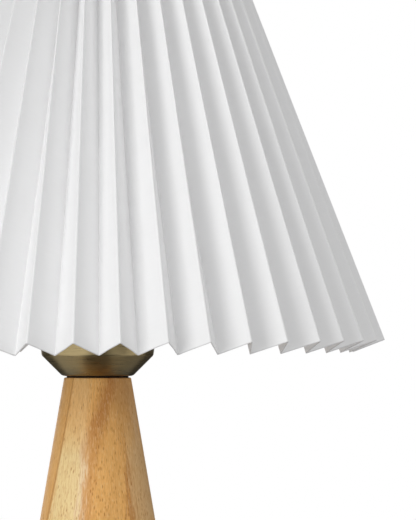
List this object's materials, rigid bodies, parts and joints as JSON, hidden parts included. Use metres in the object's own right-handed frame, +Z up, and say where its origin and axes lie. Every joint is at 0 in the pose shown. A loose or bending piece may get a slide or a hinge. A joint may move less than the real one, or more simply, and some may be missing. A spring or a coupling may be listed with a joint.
{
  "type": "table lamp",
  "caption": "Table lamp with a pleated conical paper shade on a wire carrier, a brass cup and a turned wooden foot; its switch bar, bulb, shade ring and shade move.",
  "frame": {"origin": "on the lamp's axis, on the surface that it stands on", "axes": "+Z up along the lamp's axis; -Y is the front, away from the cord inlet; the switch bar lies along X"},
  "size_m": [0.299, 0.299, 0.4359],
  "materials": {
    "felt": "matte",
    "fibreboard": "matte",
    "foot_wood": "satin",
    "cast_iron": "matte",
    "zinc_steel": "satin",
    "black_rubber": "matte",
    "cup_brass": "satin",
    "holder_black": "satin",
    "porcelain": "gloss",
    "contact_brass": "satin",
    "shell_metal": "satin",
    "bulb_opal": "satin",
    "bulb_plastic": "satin",
    "bulb_cap_metal": "satin",
    "bulb_black": "gloss",
    "led_board": "satin",
    "carrier_wire": "satin",
    "shade_paper": "matte",
    "thread_white": "matte"
  },
  "bodies": {
    "lamp": {"felt_pad": "felt", "base_board": "fibreboard", "wooden_foot": "foot_wood", "iron_weight": "cast_iron", "bottom_washer": "zinc_steel", "bottom_nut": "zinc_steel", "threaded_tube": "zinc_steel", "cord_bush": "black_rubber", "neck_washer": "black_rubber", "brass_cup": "cup_brass", "lock_washer": "zinc_steel", "cup_nut": "zinc_steel", "lampholder_cap": "holder_black", "cap_grub_screw": "zinc_steel", "switch_block": "porcelain", "switch_strips": "contact_brass", "terminal_screws": "contact_brass", "contact_block": "porcelain", "centre_contact": "contact_brass", "screw_shell": "shell_metal", "lampholder_sleeve": "holder_black", "lower_shade_ring": "holder_black"},
    "switch_bar": {"push_bar": "contact_brass", "push_button_left": "holder_black", "push_button_right": "holder_black", "switch_bridge": "contact_brass"},
    "bulb_contact": {"bulb_tip": "bulb_cap_metal"},
    "bulb": {"bulb_insulator": "bulb_black", "bulb_screw_cap": "bulb_cap_metal", "bulb_housing": "bulb_plastic", "bulb_led_board": "led_board", "bulb_diffuser": "bulb_opal"},
    "shade_carrier": {"carrier_fitter_ring": "carrier_wire", "carrier_arms": "carrier_wire", "carrier_top_ring": "carrier_wire"},
    "shade_ring": {"upper_shade_ring": "holder_black"},
    "shade": {"pleated_shade": "shade_paper", "gathering_thread": "thread_white"}
  },
  "joints": [
    {"name": "switch_push", "type": "slide", "parent": "lamp", "child": "switch_bar", "axis": [-1, 0, 0], "range_m": [0, 0.006]},
    {"name": "bulb_lift", "type": "slide", "parent": "lamp", "child": "bulb_contact", "axis": [0, 0, 1], "range_m": [0, 0.0182]},
    {"name": "bulb_turn", "type": "hinge", "parent": "bulb_contact", "child": "bulb", "pos_m": [0, 0, 0.2577], "axis": [0, 0, 1], "range_deg": [0, 1800]},
    {"name": "shade_lift", "type": "slide", "parent": "lamp", "child": "shade_carrier", "axis": [0, 0, 1], "range_m": [0, 0.01]},
    {"name": "shade_ring_turn", "type": "hinge", "parent": "shade_carrier", "child": "shade_ring", "pos_m": [0, 0, 0.2524], "axis": [0, 0, 1], "range_deg": [0, 1441]},
    {"name": "shade_turn", "type": "hinge", "parent": "shade_carrier", "child": "shade", "pos_m": [0, 0, 0.3], "axis": [0, 0, 1], "continuous": true}
  ],
  "couplings": [
    {"joint": "bulb_lift", "follows": "bulb_turn", "m_per_rad": 0.00057757},
    {"joint": "shade_ring_turn", "follows": "shade_lift", "rad_per_m": 2513.3}
  ]
}
